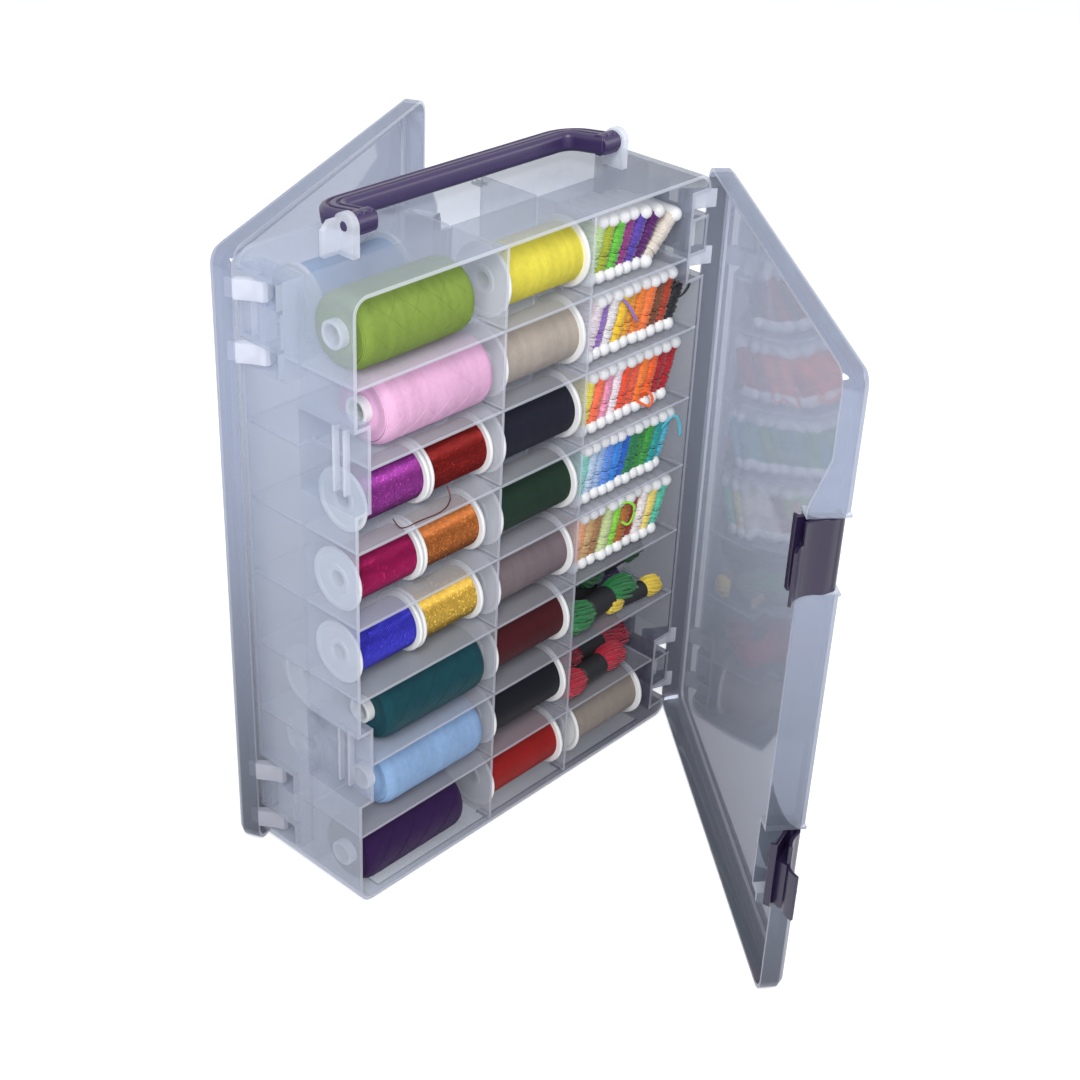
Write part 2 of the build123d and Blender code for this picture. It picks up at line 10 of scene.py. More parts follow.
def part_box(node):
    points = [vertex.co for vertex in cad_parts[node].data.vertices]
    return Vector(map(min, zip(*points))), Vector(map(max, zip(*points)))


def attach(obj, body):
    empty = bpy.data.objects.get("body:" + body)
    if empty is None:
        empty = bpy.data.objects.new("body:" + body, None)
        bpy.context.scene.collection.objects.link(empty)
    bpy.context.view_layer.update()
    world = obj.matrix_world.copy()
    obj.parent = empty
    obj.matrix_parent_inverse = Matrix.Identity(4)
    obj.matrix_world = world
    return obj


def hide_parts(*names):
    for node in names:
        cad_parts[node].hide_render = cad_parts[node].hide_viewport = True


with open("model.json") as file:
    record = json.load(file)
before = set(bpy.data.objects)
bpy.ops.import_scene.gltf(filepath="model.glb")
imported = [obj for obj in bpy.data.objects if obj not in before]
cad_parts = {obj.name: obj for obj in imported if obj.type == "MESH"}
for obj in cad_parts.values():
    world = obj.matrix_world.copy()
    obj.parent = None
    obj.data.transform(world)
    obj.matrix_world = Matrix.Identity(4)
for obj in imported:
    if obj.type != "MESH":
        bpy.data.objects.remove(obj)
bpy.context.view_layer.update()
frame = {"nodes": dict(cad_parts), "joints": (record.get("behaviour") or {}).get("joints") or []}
MM = 0.001


# ---------------------------------------------------------------- camera
# The box is seen from its front left corner and from above, so that the open
# front face, the left wall and the inside of the front lid all show.
camera_place = Vector((-603.6, -575.4, 650.3)) * MM
camera_azimuth = -48.54
camera_elevation = 30.62
camera_roll = 2.69
focal_pixels = 1817.0
image_pixels = 1080.0
sensor_width = 36.0


def link(thing):
    """Put an object in the scene."""
    bpy.context.scene.collection.objects.link(thing)


camera_data = bpy.data.cameras.new("camera")
camera_data.sensor_width = sensor_width
camera_data.lens = sensor_width * focal_pixels / image_pixels
camera = bpy.data.objects.new("camera", camera_data)
turn = (Matrix.Rotation(math.radians(camera_azimuth), 4, "Z")
        @ Matrix.Rotation(math.radians(90 - camera_elevation), 4, "X")
        @ Matrix.Rotation(math.radians(camera_roll), 4, "Z"))
camera.matrix_world = Matrix.Translation(camera_place) @ turn
link(camera)
bpy.context.scene.camera = camera


# ---------------------------------------------------------------- room
# A white floor and a plain white surround, lit by an even sky and two soft
# panels: a large one high on the left and a weaker one on the right.
class Number:
    """A socket in a node tree. Arithmetic on it adds the Math nodes."""

    def __init__(self, tree, socket):
        self.tree = tree
        self.socket = socket

    def maths(self, operation, *values):
        """Result of a Math node."""
        return put(self.tree, "ShaderNodeMath", {"operation": operation}, dict(enumerate(values)))

    def __add__(self, other):
        return self.maths("ADD", self, other)

    __radd__ = __add__

    def __sub__(self, other):
        return self.maths("SUBTRACT", self, other)

    def __rsub__(self, other):
        return self.maths("SUBTRACT", other, self)

    def __mul__(self, other):
        return self.maths("MULTIPLY", self, other)

    __rmul__ = __mul__


def put(tree, kind, settings=None, sockets=None, out=0):
    """Add a node: its settings first, then the values or links of its sockets.

    out is the name or number of the output that is wanted."""
    node = tree.nodes.new(kind)
    for name, value in (settings or {}).items():
        setattr(node, name, value)
    for key, value in (sockets or {}).items():
        if isinstance(value, Number):
            tree.links.new(value.socket, node.inputs[key])
        else:
            node.inputs[key].default_value = value
    return Number(tree, node.outputs[out]) if len(node.outputs) else None


def new_material(name):
    """An empty material and its node tree."""
    material = bpy.data.materials.new(name)
    material.use_nodes = True
    material.node_tree.nodes.clear()
    return material, material.node_tree


def seen_plainly(tree):
    """1 for rays from the camera, from a mirror and through glass, 0 for the rest."""
    camera_ray = put(tree, "ShaderNodeLightPath", out="Is Camera Ray")
    glossy_ray = put(tree, "ShaderNodeLightPath", out="Is Glossy Ray")
    through_ray = put(tree, "ShaderNodeLightPath", out="Is Transmission Ray")
    return camera_ray + glossy_ray + through_ray


sky_level = 0.52
world = bpy.data.worlds.new("studio")
bpy.context.scene.world = world
world.use_nodes = True
sky = world.node_tree
sky.nodes.clear()
soft_light = put(sky, "ShaderNodeBackground", {}, {"Color": (0.95, 0.97, 1.0, 1), "Strength": sky_level})
white_card = put(sky, "ShaderNodeBackground", {}, {"Color": (1, 1, 1, 1), "Strength": 1.0})
surround = put(sky, "ShaderNodeMixShader", {}, {0: seen_plainly(sky), 1: soft_light, 2: white_card})
put(sky, "ShaderNodeOutputWorld", {}, {"Surface": surround})
panel_aim = Vector((0, 0, 0.17))


def soft_panel(name, place, size, power):
    """A round soft lamp that faces the middle of the case."""
    light = bpy.data.lights.new(name, "AREA")
    light.shape = "DISK"
    light.size = size
    light.energy = power
    lamp = bpy.data.objects.new(name, light)
    lamp.location = place
    lamp.rotation_euler = (panel_aim - Vector(place)).to_track_quat("-Z", "Y").to_euler()
    link(lamp)


soft_panel("panel_left", (-1.0, -0.9, 1.5), size=1.0, power=30.0)
soft_panel("panel_right", (1.3, -1.3, 0.9), size=0.9, power=7.0)

floor_reach = 4.0
floor_lift = 0.42
floor_material, floor_tree = new_material("white_floor")
floor_white = put(floor_tree, "ShaderNodeBsdfDiffuse", {}, {"Color": (0.93, 0.93, 0.94, 1)})
floor_glow = put(floor_tree, "ShaderNodeEmission", {}, {"Strength": seen_plainly(floor_tree) * floor_lift})
floor_sum = put(floor_tree, "ShaderNodeAddShader", {}, {0: floor_white, 1: floor_glow})
put(floor_tree, "ShaderNodeOutputMaterial", {}, {"Surface": floor_sum})
square = ((-1, -1), (1, -1), (1, 1), (-1, 1))
floor_corners = [(x * floor_reach, y * floor_reach, 0) for x, y in square]
floor_mesh = bpy.data.meshes.new("floor")
floor_mesh.from_pydata(floor_corners, [], [(0, 1, 2, 3)])
floor_mesh.materials.append(floor_material)
floor = bpy.data.objects.new("floor", floor_mesh)
link(floor)
bpy.context.scene.view_settings.view_transform = "Standard"
# Up to this many thin skins of the case lie behind one another.
bpy.context.scene.cycles.transparent_max_bounces = 48


# ---------------------------------------------------------------- core case
# The core is one moulding of thin frosted polypropylene: a ring, a web across
# its middle, latch pockets, hinge corners and handle ears. Light runs along the
# sheet, so its cut edges look whiter and closer than its faces; a paler, less
# clear edge plastic paints that light. Every frosted plastic carries painted
# light at the top of the case, painted shade at its base and a faint painted glow.
# Where the painted shade and painted light of the frosted plastics begin and end, and the strength of their
# painted glow; the cloud varies their roughness.
painted_shade_level = -0.02
painted_light_level = 0.32
painted_shade_drop = 0.09
painted_light_rise = 0.02
painted_glow = 0.12
cloud_size = 9.0
cloud_strength = 0.04


def frosted(name, high, low, cover, haze, tint, roughness, across=0.0, metal=0.0):
    """Milky see-through plastic with painted light at the top of the case, painted shade at its base and a
    faint painted glow.

    cover is the share of one skin that is not clear, and haze is what the painted shade's
    dark end adds to it. across moves the painted shade's dark end towards the right (+X)."""
    material, tree = new_material(name)
    place = put(tree, "ShaderNodeTexCoord", out="Object")
    x = put(tree, "ShaderNodeSeparateXYZ", {}, {0: place}, out="X")
    z = put(tree, "ShaderNodeSeparateXYZ", {}, {0: place}, out="Z")
    # Painted light at the top of the case and painted shade at its base, moved towards the right by across.
    painted_light_fade = put(tree, "ShaderNodeMapRange", {"interpolation_type": "SMOOTHSTEP"}, {
        "Value": z * (1.0 - across / 2) - x * across,
        "From Min": painted_shade_level - painted_shade_drop * across, "From Max": painted_light_level + painted_light_rise * across})
    milk = put(tree, "ShaderNodeMix", {"data_type": "RGBA"}, {0: painted_light_fade, 6: (*low, 1), 7: (*high, 1)}, out=2)
    cloud = put(tree, "ShaderNodeTexNoise", {}, {"Vector": place, "Scale": cloud_size, "Detail": 1.0})
    # The skin's emission in its own colour is a painted glow.
    skin = put(tree, "ShaderNodeBsdfPrincipled", {}, {
        "Base Color": milk, "Roughness": cloud * cloud_strength + (roughness - cloud_strength / 2),
        "IOR": 1.49, "Metallic": metal, "Emission Color": milk, "Emission Strength": painted_glow})
    clear = put(tree, "ShaderNodeBsdfTransparent", {}, {"Color": (*tint, 1)})
    both = put(tree, "ShaderNodeMixShader", {}, {0: painted_light_fade * -haze + (cover + haze), 1: clear, 2: skin})
    put(tree, "ShaderNodeOutputMaterial", {}, {"Surface": both})
    return material


# The frosted plastics are lit and shaded copies of one plastic. high and low are each one's painted light and
# painted shade, and edge_plastic is a paler, less clear copy that paints light on cut edges.
wall_plastic = frosted(
    "frosted_wall", high=(0.70, 0.75, 0.87), low=(0.07, 0.07, 0.10), cover=0.18, haze=0.42,
    tint=(0.86, 0.88, 0.91), roughness=0.26, across=1.0)
edge_plastic = frosted(
    "frosted_edge", high=(0.80, 0.82, 0.89), low=(0.42, 0.42, 0.48), cover=0.42, haze=0.10,
    tint=(0.86, 0.88, 0.92), roughness=0.30)
# shade_plastic is a dark copy that paints shade on the inner wall of the front lid's hinge side.
shade_plastic = frosted(
    "frosted_shade", high=(0.10, 0.11, 0.14), low=(0.06, 0.06, 0.08), cover=0.58, haze=0.10,
    tint=(0.52, 0.54, 0.60), roughness=0.20)
FACE, EDGE, SHADE = 0, 1, 2
weld_gap = 0.01
flat_within = math.radians(0.6)
crease_from = math.radians(25)


def moulded(name, source, face_plastic, kind_of, roundness, body, weigh=None):
    """Smooth-edged copy of a CAD node; kind_of says which plastic a face has."""
    mesh = bpy.data.meshes.new(name)
    work = bmesh.new()
    work.from_mesh(frame["nodes"][source].data)
    bmesh.ops.remove_doubles(work, verts=work.verts, dist=weld_gap * MM)
    bmesh.ops.dissolve_limit(work, angle_limit=flat_within, verts=work.verts, edges=work.edges)
    for face in work.faces:
        face.smooth = True
        face.material_index = kind_of(face.calc_center_median(), face.normal)
    weight = work.edges.layers.float.new("bevel_weight_edge")
    for edge in work.edges:
        edge[weight] = 0.0
        if len(edge.link_faces) == 2 and edge.calc_face_angle(0.0) > crease_from:
            edge[weight] = weigh(edge) if weigh else 1.0
    work.to_mesh(mesh)
    work.free()
    for plastic in (face_plastic, edge_plastic, shade_plastic):
        mesh.materials.append(plastic)
    piece = bpy.data.objects.new(name, mesh)
    link(piece)
    bevel = piece.modifiers.new("soft_edges", "BEVEL")
    bevel.limit_method = "WEIGHT"
    bevel.width = roundness * MM
    bevel.segments = 2
    bevel.use_clamp_overlap = True
    bevel.harden_normals = True
    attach(piece, body)
    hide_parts(source)


core_low, core_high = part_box("core_shell")
core_roundness = 0.4
rim_depth = 0.4
column_from = 116.1
column_to = 119.4
lid_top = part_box("front_lid")[1].z


def core_kind(centre, normal):
    """Open rims of the core, catch ribs and hinge columns, and the handle ears take the edge plastic, with
    its painted light.
    """
    rim = abs(normal.y) > 0.9 and abs(centre.y) > core_high.y - rim_depth * MM
    column = abs(normal.z) < 0.5 and column_from * MM < abs(centre.x) < column_to * MM
    ear = centre.z > lid_top
    return EDGE if rim or column or ear else FACE


moulded("core_case", "core_shell", wall_plastic, core_kind, core_roundness, "core")


# ---------------------------------------------------------------- shelves and dividers
# Flat sheets of the same plastic that slide into the core and lock by cross
# laps. Only their long edges catch the light, which the paler edge plastic paints on them.
sheet_plastic = frosted(
    "frosted_sheet", high=(0.84, 0.86, 0.91), low=(0.30, 0.30, 0.34), cover=0.24, haze=0.04,
    tint=(0.90, 0.91, 0.93), roughness=0.26, across=0.8)
sheet_roundness = 0.25


def sheet_kind(thin_axis):
    """The cut edges of a sheet take the edge plastic, with its painted light."""
    return lambda centre, normal: EDGE if abs(normal[thin_axis]) < 0.5 else FACE


for node in sorted(frame["nodes"]):
    if "_shelf_" in node:
        moulded(node + "_sheet", node, sheet_plastic, sheet_kind(2), sheet_roundness, "core")
    if "_divider_" in node:
        moulded(node + "_sheet", node, sheet_plastic, sheet_kind(0), sheet_roundness, "core")


# ---------------------------------------------------------------- lids
# Each lid is a shallow tray with soft outer corners, a deeper wall on its free
# side and two latch housings. A double line is moulded round inside its panel.
lid_plastic = frosted(
    "frosted_lid", high=(0.44, 0.49, 0.61), low=(0.11, 0.12, 0.15), cover=0.38, haze=0.19,
    tint=(0.68, 0.70, 0.76), roughness=0.06, metal=0.50)
lid_roundness = 1.4
lid_corner = 10.0
corner_share = 0.3
lid_wall = 2.0
rim_level = 11.5
lug_level = 12.5
panel_level = 1.0
hinge_side_depth = 14.0
housing_depth = 9.6
housing_margin = 25.0
chamfer_level = 3.2
inner_softness = 0.28
bead_insets = (9.5, 12.0)
bead_section = ((0, -0.2), (0.25, 0.6), (0.65, 0.6), (0.9, -0.2))
joint_named = {joint["name"]: joint for joint in frame["joints"]}


def turned(angle, pivot):
    """Turn about the upright line through pivot."""
    centre = Vector((pivot[0], pivot[1], 0))
    turning = Matrix.Rotation(math.radians(angle), 4, "Z")
    return Matrix.Translation(centre) @ turning @ Matrix.Translation(-centre)


def lid_places(side):
    """Matrix from the closed front lid to the open lid of that side."""
    joint = joint_named[f"{side}_lid_hinge"]
    pivot = joint_named["front_lid_hinge"]["pos_m"]
    opened = turned(-joint["range_deg"][0], pivot)
    return opened if side == "front" else Matrix.Rotation(math.pi, 4, "Z") @ opened


def closed_box(side):
    """Box of a lid in the closed front lid's frame."""
    back = lid_places(side).inverted()
    points = [back @ v.co for v in frame["nodes"][f"{side}_lid"].data.vertices]
    return [Vector([pick(p[i] for p in points) for i in range(3)]) for pick in (min, max)]


def rounded_loop(x0, x1, z0, z1, radius, steps=10):
    """Points round a rectangle with round corners."""
    points = []
    for cx, cz, start in ((x1 - radius, z1 - radius, 0), (x0 + radius, z1 - radius, 90),
                          (x0 + radius, z0 + radius, 180), (x1 - radius, z0 + radius, 270)):
        for i in range(steps + 1):
            a = math.radians(start + 90 * i / steps)
            points.append((cx + radius * math.cos(a), cz + radius * math.sin(a)))
    return points


def add_piece(name, work, materials, body, replaces=()):
    """Finish a bmesh as an object that rides on a body."""
    bmesh.ops.recalc_face_normals(work, faces=work.faces)
    mesh = bpy.data.meshes.new(name)
    work.to_mesh(mesh)
    work.free()
    for material in materials:
        mesh.materials.append(material)
    mesh.shade_smooth()
    mesh.set_sharp_from_angle(angle=math.radians(40))
    piece = bpy.data.objects.new(name, mesh)
    link(piece)
    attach(piece, body)
    if replaces:
        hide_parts(*replaces)
    return piece


def join_rings(work, rings, inside_out=False):
    """Faces from each ring of vertices to the next."""
    for a, b in zip(rings, rings[1:]):
        for i in range(len(a)):
            j = (i + 1) % len(a)
            corners = [a[i], a[j], b[j], b[i]]
            work.faces.new(corners[:1] + corners[:0:-1] if inside_out else corners)


def lid_panel_beads(side):
    """Two low rounded lines inside the lid's panel, one within the other."""
    low, high = closed_box(side)
    rim_x = low.x / MM, high.x / MM
    rim_z = low.z / MM, high.z / MM
    face_y = low.y / MM + lid_wall
    place = lid_places(side)
    work = bmesh.new()
    for inset in bead_insets:
        rings = []
        for reach, height in bead_section:
            d = inset + reach
            corner = lid_corner - corner_share * d
            loop = rounded_loop(rim_x[0] + d, rim_x[1] - d, rim_z[0] + d, rim_z[1] - d, corner)
            rings.append([work.verts.new(place @ (Vector((x, face_y + height, z)) * MM)) for x, z in loop])
        join_rings(work, rings + rings[:1])
    add_piece(f"{side}_lid_beads", work, [edge_plastic], f"{side}_lid_body")


for side in ("front", "rear"):
    back = lid_places(side).inverted()
    low, high = closed_box(side)

    def lid_kind(centre, normal, back=back, low=low, high=high, front=side == "front"):
        """Rims, lugs and housing ends take the edge plastic's painted light; the front lid's hinge-side wall
        takes painted shade.
        """
        place = back @ centre
        facing = back.to_3x3() @ normal
        rim = facing.y > 0.9 and place.y > low.y + rim_level * MM
        lug = place.y > low.y + lug_level * MM and place.x > 0
        in_housing = (low.z + housing_margin * MM < centre.z < high.z - housing_margin * MM
                      and place.x < low.x + housing_depth * MM)
        housing_end = in_housing and abs(normal.z) > 0.9 and place.y > low.y + panel_level * MM
        if rim or lug or housing_end:
            return EDGE
        # Painted shade: a dark plastic on the inner wall of the front lid's hinge side.
        hinge_side = front and facing.x < -0.9 and place.x > high.x - hinge_side_depth * MM
        return SHADE if hinge_side else FACE

    def soft_outside(edge, back=back, low=low):
        """The edges either side of the outer chamfer are rounded most."""
        depth = [(back @ v.co).y - low.y for v in edge.verts]
        return 1.0 if max(depth) < chamfer_level * MM else inner_softness

    moulded(f"{side}_lid_tray", f"{side}_lid", lid_plastic, lid_kind, lid_roundness, f"{side}_lid_body",
            soft_outside)
    lid_panel_beads(side)


# ---------------------------------------------------------------- hinge pins
# Plain moulded pins run through the corner knuckles and the lid lugs. They have
# the pale edge plastic, with its painted light.
for node in ("front_hinge_pins", "rear_hinge_pins"):
    frame["nodes"][node].data.materials.clear()
    frame["nodes"][node].data.materials.append(edge_plastic)


# ---------------------------------------------------------------- latches
# Each latch is a curved purple cover with a flared lip, turning in its lid
# housing on two stubs, with a barbed strip behind it and a solid core between.
gloss_change = 0.18


def coloured_plastic(name, colour, roughness, fleck):
    """Moulded plastic with a fine grain; fleck is how far its tone goes up and down."""
    material, tree = new_material(name)
    place = put(tree, "ShaderNodeTexCoord", out="Object")
    cloud = put(tree, "ShaderNodeTexNoise", {}, {"Vector": place, "Scale": 60.0, "Detail": 4.0})
    grain = put(tree, "ShaderNodeTexNoise", {}, {"Vector": place, "Scale": 2200.0, "Detail": 1.0})
    dark = [c * (1 - fleck) for c in colour]
    pale = [min(1, c * (1 + fleck)) for c in colour]
    tone = put(tree, "ShaderNodeMix", {"data_type": "RGBA"}, {0: cloud, 6: (*dark, 1), 7: (*pale, 1)}, out=2)
    bump = put(tree, "ShaderNodeBump", {}, {"Strength": 0.05, "Distance": 0.0003, "Height": grain})
    skin = put(tree, "ShaderNodeBsdfPrincipled", {}, {
        "Base Color": tone, "Roughness": cloud * gloss_change + (roughness - gloss_change / 2), "IOR": 1.5,
        "Normal": bump})
    put(tree, "ShaderNodeOutputMaterial", {}, {"Surface": skin})
    return material


purple_plastic = coloured_plastic("purple_plastic", (0.036, 0.021, 0.084), roughness=0.36, fleck=0.12)
latch_plastic = coloured_plastic("latch_plastic", (0.014, 0.008, 0.034), roughness=0.30, fleck=0.10)
latch_setback = 4.2
latch_inset = 5.0
latch_tip = 18.5
latch_half = 18.6
latch_step = 8.0
latch_short = 17.0
latch_lap = 1.5
latch_barrel = 3.2
latch_stub = 1.35
stub_reach = 1.6
cover_outside = [(0, 3.2), (4, 4.6), (9, 3.9), (14, 4.6), (18.5, 7.2), (21.6, 11.8)]
cover_inside = [(22.8, 10.8), (19.6, 5.8), (14.6, 2.9), (9, 2.2), (4, 2.8), (0, 1.2)]
barbed_strip = [(0, -1.2), (latch_tip, -1.2), (latch_tip, -4.8), (latch_tip - 1.0, -4.8),
                (latch_tip - 1.8, -2.8), (0, -2.8)]
solid_core = [(0, -1.3), (latch_tip - 3, -1.3), (17.5, 4.8), (14.6, 3.6), (8, 2.6), (0, 1.2)]


def prism(work, outline, z0, z1, place):
    """Closed slab: an outline in local x, y raised from z0 to z1 (mm)."""
    rings = [[work.verts.new(place @ (Vector((x, y, z)) * MM)) for x, y in outline] for z in (z0, z1)]
    work.faces.new(rings[0][::-1])
    work.faces.new(rings[1])
    join_rings(work, rings)


def circle(radius, sides):
    """Points round a circle."""
    return [(radius * math.cos(2 * math.pi * i / sides), radius * math.sin(2 * math.pi * i / sides))
            for i in range(sides)]


def soften(piece, width, angle):
    """Round the edges of a piece that are sharper than an angle."""
    bevel = piece.modifiers.new("soft_edges", "BEVEL")
    bevel.width = width * MM
    bevel.segments = 2
    bevel.limit_method = "ANGLE"
    bevel.angle_limit = math.radians(angle)


def curve_between(points, steps):
    """Smooth line through a few points (Catmull-Rom)."""
    line = []
    ends = [points[0]] + points + [points[-1]]
    for p0, p1, p2, p3 in zip(ends, ends[1:], ends[2:], ends[3:]):
        for i in range(steps):
            t = i / steps
            line.append(tuple(0.5 * (2 * b + (c - a) * t + (2 * a - 5 * b + 4 * c - d) * t * t
                                     + (3 * b - a - 3 * c + d) * t ** 3)
                              for a, b, c, d in zip(p0, p1, p2, p3)))
    line.append(points[-1])
    return line


def make_latch(side, name):
    """One latch in its open or closed place; its tab is cut short at its upper end."""
    joint = joint_named[f"{side}_{name}_latch_swing"]
    closed_low = closed_box(side)[0]
    level = joint["pos_m"][2]
    place = (lid_places(side)
             @ Matrix.Translation((closed_low.x + latch_setback * MM, closed_low.y + latch_inset * MM, level))
             @ Matrix.Rotation(math.radians(90 - joint["range_deg"][0]), 4, "Z"))
    cover = curve_between(cover_outside, 6) + curve_between(cover_inside, 6)
    short_cover = [point for point in cover if point[0] < latch_short]
    tab = [point for point in cover if point[0] > latch_short - latch_lap]
    work = bmesh.new()
    prism(work, short_cover, -latch_half, latch_half, place)
    prism(work, tab, -latch_half, latch_step, place)
    prism(work, circle(latch_barrel, 18), -latch_half, latch_half, place)
    prism(work, circle(latch_stub, 12), -latch_half - stub_reach, latch_half + stub_reach, place)
    prism(work, barbed_strip, -latch_half, latch_half, place)
    prism(work, solid_core, -latch_half, latch_step, place)
    latch = add_piece(f"{side}_{name}_latch", work, [latch_plastic], f"{side}_{name}_latch_body",
                      [f"{side}_latch_{name}"])
    soften(latch, width=0.4, angle=40)


for side in ("front", "rear"):
    for name in ("upper", "lower"):
        make_latch(side, name)


# ---------------------------------------------------------------- carry handle
# A purple bail with a rounded section and two grooves along its outer face. It
# swings on the ears of the core and lies folded back over the top.
ear_gap = 89.6
bail_width = 13.0
bail_height = 10.0
bail_reach = 26.0
bail_radius = 18.0
bail_tilt = -8.0
bail_corner = 2.8
bail_foot = 2.5
groove_middle = 2.3
groove_mouth = 0.95
groove_bottom = 0.6
groove_depth = 1.2
pin_radius = 2.35
pin_depth = 4.4
boss_radius = 5.4


def bail_section():
    """Outline of the bail across its length: outwards, upwards."""
    w = bail_width / 2
    h = bail_height / 2
    groove = []
    for centre in (-groove_middle, groove_middle):
        groove += [(centre - groove_mouth, h), (centre - groove_bottom, h - groove_depth),
                   (centre + groove_bottom, h - groove_depth), (centre + groove_mouth, h)]
    arc = [math.radians(a) for a in (0, 22.5, 45, 67.5, 90)]
    top_right = [(w - bail_corner + bail_corner * math.cos(a), h - bail_corner + bail_corner * math.sin(a))
                 for a in arc]
    top_left = [(-x, y) for x, y in reversed(top_right)]
    low_left = [(-x, -y) for x, y in top_right]
    low_right = [(x, -y) for x, y in reversed(top_right)]
    return low_right[:-1] + [(w, 0)] + top_right + groove[::-1] + top_left + low_left[:-1] + [(0, -h)]


def bail_path():
    """Middle line of the bail in its own plane with outward directions."""
    half = ear_gap - bail_width / 2
    reach = bail_reach
    radius = bail_radius - bail_width / 2
    foot = bail_foot - bail_width / 2
    stations = [((-half, foot), (-1, 0)), ((-half, 0), (-1, 0))]
    for side, start in ((-1, 180), (1, 90)):
        for i in range(9):
            a = math.radians(start - 90 * i / 8)
            middle = (side * (half - radius) + radius * math.cos(a), reach - radius + radius * math.sin(a))
            stations.append((middle, (math.cos(a), math.sin(a))))
    stations += [((half, 0), (1, 0)), ((half, foot), (1, 0))]
    return stations


handle_z = joint_named["carry_handle_swing"]["pos_m"][2]
handle_place = Matrix.Translation((0, 0, handle_z)) @ Matrix.Rotation(math.radians(bail_tilt), 4, "X")
handle = bmesh.new()
rings = []
for (x, y), (out_x, out_y) in bail_path():
    rings.append([handle.verts.new(handle_place @ (Vector((x + out_x * u, y + out_y * u, v)) * MM))
                  for u, v in bail_section()])
join_rings(handle, rings)
handle.faces.new(rings[0][::-1])
handle.faces.new(rings[-1])
across = handle_place @ Matrix.Rotation(math.radians(90), 4, "Y")
for side in (-1, 1):
    ends = sorted((side * (ear_gap - 1.0), side * (ear_gap + pin_depth)))
    prism(handle, circle(pin_radius, 16), *ends, across)
    ends = sorted((side * (ear_gap - bail_width + 1.0), side * ear_gap))
    prism(handle, circle(boss_radius, 24), *ends, across)
handle_piece = add_piece("handle_bail", handle, [purple_plastic], "handle_body",
                         ["carry_handle"])
soften(handle_piece, width=0.35, angle=50)


# ---------------------------------------------------------------- rows and columns
# Where things stand: each row rests on its shelf, and the dividers make three
# columns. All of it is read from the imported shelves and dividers.
last_row = 8
base_depth = 3.5


def row_floor(row):
    """Height of the shelf, or of the case's base, that a row stands on (mm)."""
    if row == last_row:
        return (core_low.z / MM) + base_depth
    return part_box(f"front_shelf_{row}")[1].z / MM


column_two = (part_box("front_divider_left")[1].x / MM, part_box("front_divider_right")[0].x / MM)
column_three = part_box("front_divider_right")[1].x / MM
web_front = -1.0
seat_gap = 0.3


# ---------------------------------------------------------------- spool bodies
# White moulded spools. The long barrels are open tubes; the others have a hub
# between two flanges with a sunk ring and a centre hole.
white_plastic = coloured_plastic("white_plastic", (0.80, 0.80, 0.79), roughness=0.33, fleck=0.03)
hub_radius = 8.0


def lathe(work, profile, place, sides=40):
    """Turn a closed profile of (x, r) points about the local X axis."""
    rings = []
    for i in range(sides):
        a = 2 * math.pi * i / sides
        rings.append([work.verts.new(place @ (Vector((x, r * math.cos(a), r * math.sin(a))) * MM))
                      for x, r in profile])
    join_rings(work, rings + rings[:1], inside_out=True)


def flanged_profile(length, radius, flange=2.2):
    """Half section of a flanged spool: bore, sunk ring, rounded rim, hub."""
    end = [(0.9, 4.2), (0.3, 5.0), (0.3, 7.2), (1.1, 7.8), (1.1, radius - 3.0), (0.3, radius - 2.2),
           (0.0, radius - 1.2), (0.25, radius - 0.3), (0.9, radius), (flange - 0.7, radius),
           (flange - 0.1, radius - 0.5), (flange, radius - 1.6), (flange, hub_radius)]
    return end + [(length - x, r) for x, r in reversed(end)]


def tube_profile(length):
    """Half section of an open tube with rounded lips."""
    end = [(0.5, 5.0), (0.0, 5.5), (0.0, 6.5), (0.5, 7.0)]
    return end + [(length - x, r) for x, r in reversed(end)]


spool_radius = 18.58
small_radius = 16.58
barrel_length = 78.0
large_length = column_two[1] - column_two[0] - 4 * seat_gap
column_left_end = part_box("front_divider_left")[0].x / MM - seat_gap


def seat(x, row, radius, facing=-1):
    """Place of a spool that lies on a row, close to the web."""
    y = facing * (-web_front + seat_gap + radius)
    return Matrix.Translation(Vector((x, y, row_floor(row) + seat_gap + radius)) * MM)


# ---------------------------------------------------------------- wound thread
# Polyester and cotton thread wound in close turns. One material serves every
# spool: each winding carries its own dye, and fine bands follow the turns.
def dye(text):
    """Linear colour from a written sRGB one."""
    values = [int(text[i:i + 2], 16) / 255 for i in (0, 2, 4)]
    return tuple(v / 12.92 if v <= 0.04045 else ((v + 0.055) / 1.055) ** 2.4 for v in values) + (1.0,)


# A wave texture of scale 1 has a period of 0.314 m.
wave_share = 0.314
fuzz_share = 0.22
band_share = 0.30
mean_shade = 0.69


